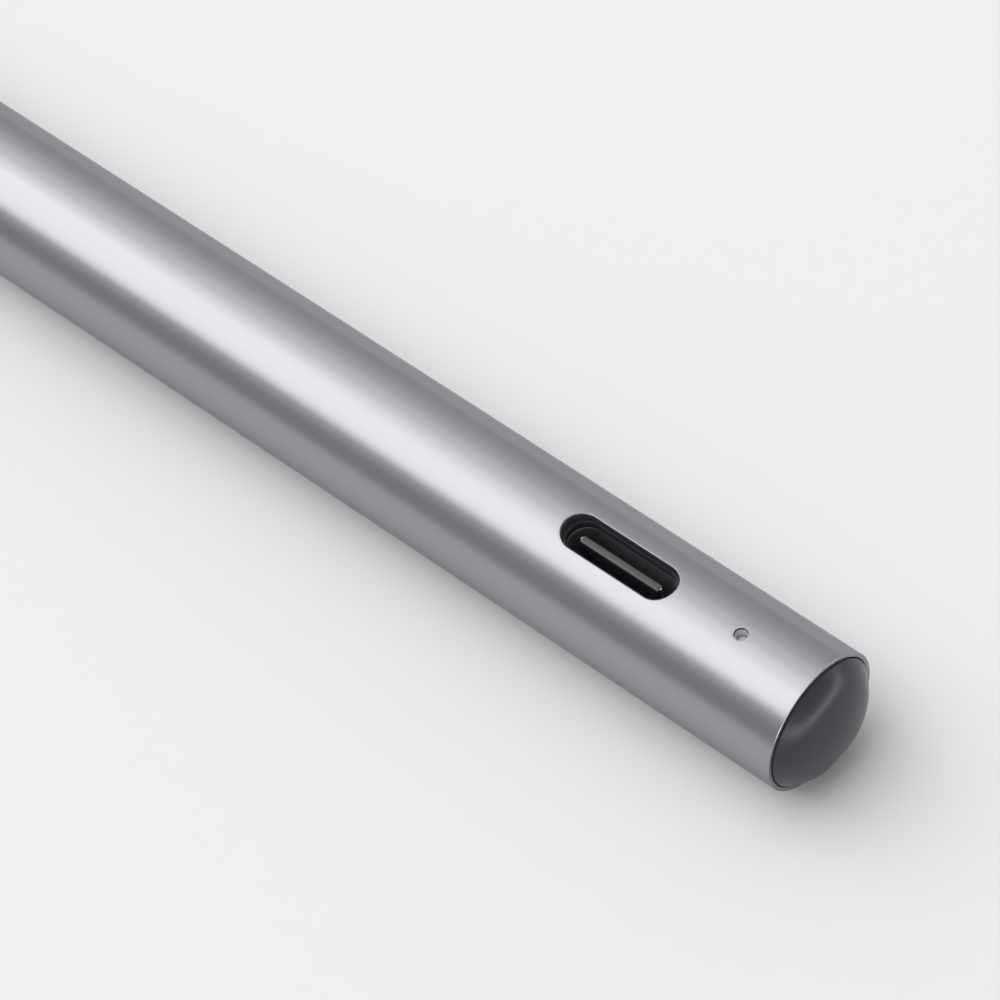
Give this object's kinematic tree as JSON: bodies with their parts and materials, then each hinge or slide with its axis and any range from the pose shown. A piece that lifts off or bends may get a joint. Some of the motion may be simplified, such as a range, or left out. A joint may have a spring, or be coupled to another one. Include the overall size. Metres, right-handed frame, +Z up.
{
  "type": "stylus pen",
  "caption": "Slim round stylus pen with an aluminium barrel, a charging port in its side, a status light, a domed press cap at the tail and a tapered nose with a pull-out nib.",
  "frame": {"origin": "on the resting surface, below the middle of the pen's length and width", "axes": "+X along the pen to the tail, +Z up out of the charging port, -Z out of the flat it lies on"},
  "size_m": [0.158, 0.01, 0.0096],
  "materials": {
    "anodised_aluminium": "bead-blasted and anodised, satin grey",
    "satin_dark_plastic": "fine satin moulding, dark grey",
    "black_plastic": "moulded, black",
    "white_plastic": "moulded, white",
    "light_pipe": "clear light pipe with a milky face",
    "port_steel": "drawn steel, darkened",
    "tongue_plastic": "glass-filled moulding, dark grey",
    "gold_plate": "gold plated",
    "steel": "bright",
    "circuit_board": "green solder mask",
    "flex_cable": "amber polyimide",
    "chip_black": "moulded chip package",
    "frame_plastic": "moulded, dark grey",
    "cell_wrap": "shrink wrap",
    "foam": "closed-cell foam",
    "nickel_strip": "nickel, plain",
    "ceramic_parts": "fired ceramic",
    "nib_plastic": "acetal, soft white"
  },
  "bodies": {
    "pen": {"barrel": "anodised_aluminium", "nose_cone": "satin_dark_plastic", "tail_plug": "black_plastic", "tail_switch": "steel", "tail_board": "circuit_board", "tail_flex": "flex_cable", "status_led": "white_plastic", "led_window": "light_pipe", "port_bezel": "black_plastic", "port_shell": "port_steel", "port_tongue": "tongue_plastic", "port_contacts": "gold_plate", "port_board": "circuit_board", "charge_chip": "chip_black", "inner_frame": "frame_plastic", "battery_cell": "cell_wrap", "battery_foam": "foam", "battery_tabs": "nickel_strip", "main_flex": "flex_cable", "main_board": "circuit_board", "processor_chip": "chip_black", "radio_shield": "steel", "board_antenna": "ceramic_parts", "power_coil": "chip_black", "board_parts": "ceramic_parts", "frame_screws": "steel", "magnets": "nickel_strip", "nib_spring": "steel", "ring_electrode": "gold_plate", "sensor_mount": "frame_plastic", "force_sensor": "steel", "sensor_flex": "flex_cable"},
    "tail_button": {"end_cap": "satin_dark_plastic", "switch_plunger": "white_plastic"},
    "nib_carrier": {"nib_holder": "black_plastic"},
    "nib_piece": {"nib": "nib_plastic"}
  },
  "joints": [
    {"name": "tail_press", "type": "slide", "parent": "pen", "child": "tail_button", "axis": [-1, 0, 0], "range_m": [0, 0.0004], "stiffness_N_per_m": 1500, "springref_m": -0.0003},
    {"name": "nib_press", "type": "slide", "parent": "pen", "child": "nib_carrier", "axis": [1, 0, 0], "range_m": [0, 0.0003], "stiffness_N_per_m": 1500, "springref_m": -0.0003, "deforming": ["nib_spring"]},
    {"name": "nib_pull", "type": "slide", "parent": "nib_carrier", "child": "nib_piece", "axis": [-1, 0, 0], "range_m": [0, 0.008]}
  ]
}
